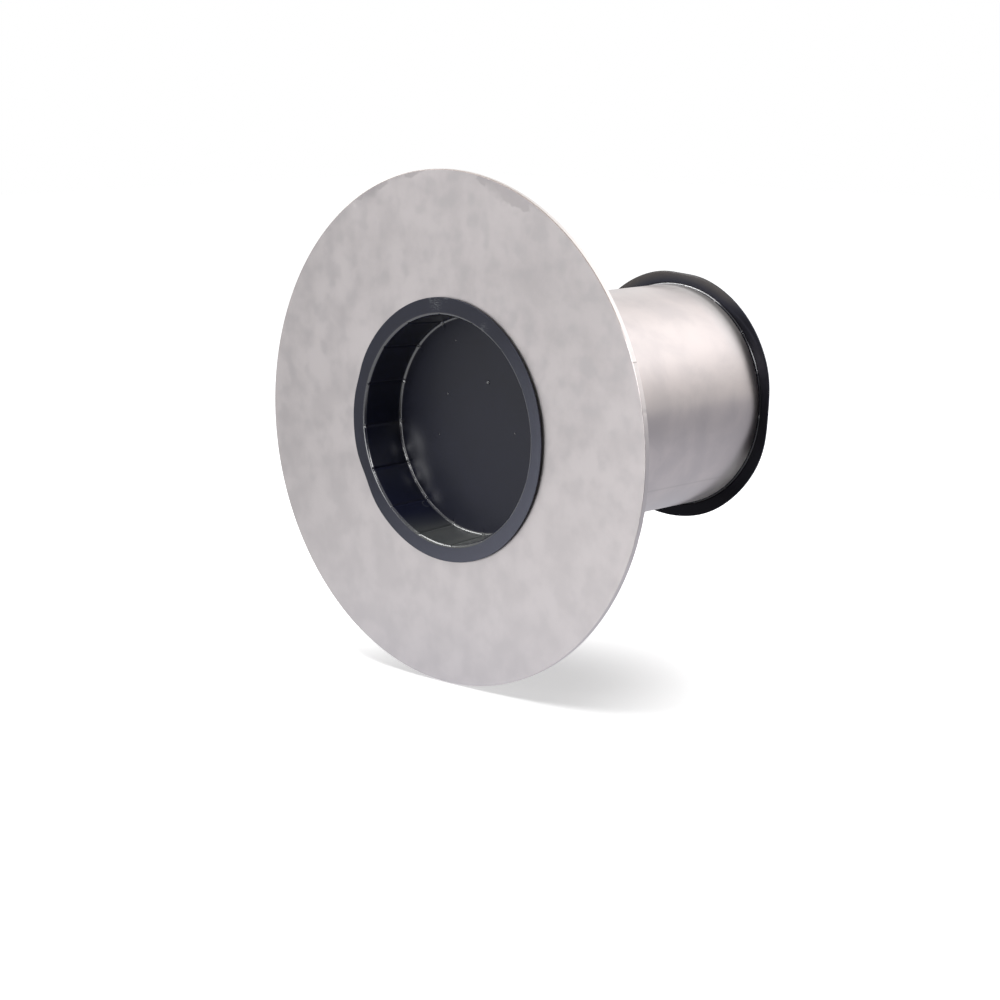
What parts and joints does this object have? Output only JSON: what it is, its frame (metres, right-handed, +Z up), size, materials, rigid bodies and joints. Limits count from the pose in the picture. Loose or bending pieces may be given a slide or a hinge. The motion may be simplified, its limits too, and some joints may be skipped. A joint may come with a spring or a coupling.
{
  "type": "wall sleeve pipe",
  "caption": "Round steel wall sleeve: a tube welded to a wide flat wall flange, with a black push-in cap in each end of the bore.",
  "frame": {"origin": "on the bore's axis, in the plane of the flange's back face, which lies on the wall", "axes": "+Y along the bore, from the wall's face into the wall, +Z up, +X to the right as seen from in front of the flange"},
  "size_m": [0.4399, 0.3063, 0.44],
  "materials": {
    "stainless_tube": "satin pickled stainless steel, faint weld seam along it",
    "stainless_plate": "matt pickled stainless steel plate with soft cloudy marks",
    "weld_bead": "rippled weld bead, lightly discoloured",
    "black_plastic": "semi-gloss black moulded plastic sheet"
  },
  "bodies": {
    "root": {"sleeve_tube": "stainless_tube", "wall_flange": "stainless_plate", "flange_weld": "weld_bead", "front_cap": "black_plastic", "rear_cap": "black_plastic"}
  },
  "joints": []
}
